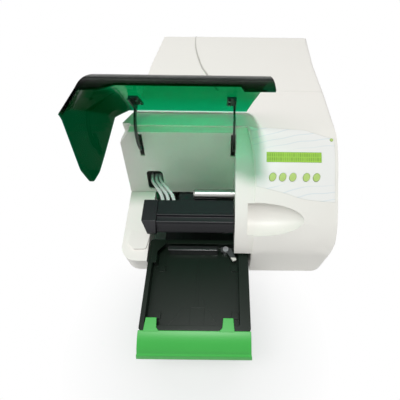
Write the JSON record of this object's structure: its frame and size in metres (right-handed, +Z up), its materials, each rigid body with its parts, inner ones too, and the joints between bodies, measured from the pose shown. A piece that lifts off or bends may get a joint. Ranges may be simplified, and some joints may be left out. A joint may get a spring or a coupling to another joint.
{
  "type": "microplate washer",
  "caption": "Benchtop microplate washer with a curved hinged lid over its wash bay, a sliding plate carrier, a lifting wash head and a console with display and keys.",
  "frame": {"origin": "on the table under the middle of the instrument's overall box, with the plate carrier out", "axes": "+X is the user's right, +Y the back, +Z up"},
  "size_m": [0.3435, 0.5635, 0.3272],
  "materials": {
    "housing_shell": "satin moulded",
    "pan_metal": "matt",
    "foot_rubber": "matt",
    "overlay_film": "satin film",
    "display_pane": "clear over a lit display",
    "circuit_board": "matt",
    "key_plastic": "satin",
    "light_plastic": "gloss",
    "green_lid": "clear tinted",
    "green_front": "satin",
    "black_plastic": "satin",
    "dark_plastic": "satin",
    "steel": "ground",
    "aluminium": "machined",
    "motor_metal": "matt",
    "belt_rubber": "matt",
    "tube_clear": "clear soft tube",
    "white_plastic": "satin"
  },
  "bodies": {
    "housing": {"base_pan": "pan_metal", "bay_cover": "housing_shell", "console_cover": "housing_shell", "cover_screws": "steel", "dispense_pump": "motor_metal", "display_module": "circuit_board", "display_window": "display_pane", "drive_belt": "belt_rubber", "drive_motor": "motor_metal", "guide_rods": "steel", "hinge_brackets": "pan_metal", "hinge_pins": "steel", "idler_bracket": "pan_metal", "key_board": "circuit_board", "keypad_overlay": "overlay_film", "lift_frame": "pan_metal", "lift_motor": "motor_metal", "lift_rods": "steel", "main_board": "circuit_board", "motor_bracket": "pan_metal", "power_inlet": "black_plastic", "power_supply": "pan_metal", "rear_cover": "housing_shell", "rear_ports": "white_plastic", "rod_holders": "aluminium", "rubber_feet": "foot_rubber", "status_light": "light_plastic", "switch_frame": "black_plastic", "tubing": "tube_clear", "vacuum_pump": "motor_metal", "valves": "white_plastic"},
    "lid": {"lid": "green_lid", "lid_screws": "steel", "lid_arm_left": "black_plastic", "lid_arm_right": "black_plastic"},
    "carrier": {"plate_carrier": "dark_plastic", "carrier_front": "green_front", "plate_stop": "black_plastic", "locator_bracket": "black_plastic", "clamp_pivot": "steel", "carrier_slide": "aluminium"},
    "clamp": {"plate_clamp": "white_plastic"},
    "head": {"wash_head": "black_plastic", "head_end_cap": "black_plastic", "dispense_tubes": "steel", "aspirate_tubes": "steel", "head_fittings": "white_plastic", "lift_arm": "steel", "arm_bracket": "black_plastic", "lift_carriage": "aluminium"},
    "lift_screw": {"lift_screw": "steel"},
    "drive_pulley": {"drive_pulley": "aluminium"},
    "idler_pulley": {"idler_pulley": "aluminium"},
    "power_rocker": {"power_switch": "black_plastic"},
    "key_1": {"key_1": "key_plastic"},
    "key_2": {"key_2": "key_plastic"},
    "key_3": {"key_3": "key_plastic"},
    "key_4": {"key_4": "key_plastic"},
    "key_5": {"key_5": "key_plastic"}
  },
  "joints": [
    {"name": "lid_hinge", "type": "hinge", "parent": "housing", "child": "lid", "pos_m": [0, 0.0465, 0.156], "axis": [1, 0, 0], "range_deg": [0, 82.5]},
    {"name": "carrier_slide", "type": "slide", "parent": "housing", "child": "carrier", "axis": [0, 1, 0], "range_m": [0, 0.136]},
    {"name": "clamp_pivot", "type": "hinge", "parent": "carrier", "child": "clamp", "pos_m": [0.002, -0.12, 0.0375], "axis": [0, 0, 1], "range_deg": [-15, 6]},
    {"name": "head_lift", "type": "slide", "parent": "housing", "child": "head", "axis": [0, 0, -1], "range_m": [0, 0.025], "deforming": ["tubing"]},
    {"name": "lift_screw_turn", "type": "hinge", "parent": "housing", "child": "lift_screw", "pos_m": [0.084, -0.033, 0.08], "axis": [0, 0, 1], "range_deg": [0, 1130]},
    {"name": "drive_pulley_turn", "type": "hinge", "parent": "housing", "child": "drive_pulley", "pos_m": [-0.042, 0.16, 0.013], "axis": [0, 0, 1], "range_deg": [0, 980]},
    {"name": "idler_pulley_turn", "type": "hinge", "parent": "housing", "child": "idler_pulley", "pos_m": [-0.042, -0.112, 0.013], "axis": [0, 0, 1], "range_deg": [0, 980]},
    {"name": "power_rocker_tilt", "type": "hinge", "parent": "housing", "child": "power_rocker", "pos_m": [0.088, 0.274, 0.038], "axis": [1, 0, 0], "range_deg": [0, 16]},
    {"name": "key_1_press", "type": "slide", "parent": "housing", "child": "key_1", "axis": [0, 0.5307, -0.8476], "range_m": [0, 0.001], "stiffness_N_per_m": 400, "springref_m": -0.0005},
    {"name": "key_2_press", "type": "slide", "parent": "housing", "child": "key_2", "axis": [0, 0.5307, -0.8476], "range_m": [0, 0.001], "stiffness_N_per_m": 400, "springref_m": -0.0005},
    {"name": "key_3_press", "type": "slide", "parent": "housing", "child": "key_3", "axis": [0, 0.5307, -0.8476], "range_m": [0, 0.001], "stiffness_N_per_m": 400, "springref_m": -0.0005},
    {"name": "key_4_press", "type": "slide", "parent": "housing", "child": "key_4", "axis": [0, 0.5307, -0.8476], "range_m": [0, 0.001], "stiffness_N_per_m": 400, "springref_m": -0.0005},
    {"name": "key_5_press", "type": "slide", "parent": "housing", "child": "key_5", "axis": [0, 0.5307, -0.8476], "range_m": [0, 0.001], "stiffness_N_per_m": 400, "springref_m": -0.0005}
  ],
  "couplings": [
    {"joint": "lift_screw_turn", "follows": "head_lift", "rad_per_m": 785.4},
    {"joint": "drive_pulley_turn", "follows": "carrier_slide", "rad_per_m": 125},
    {"joint": "idler_pulley_turn", "follows": "carrier_slide", "rad_per_m": 125}
  ]
}
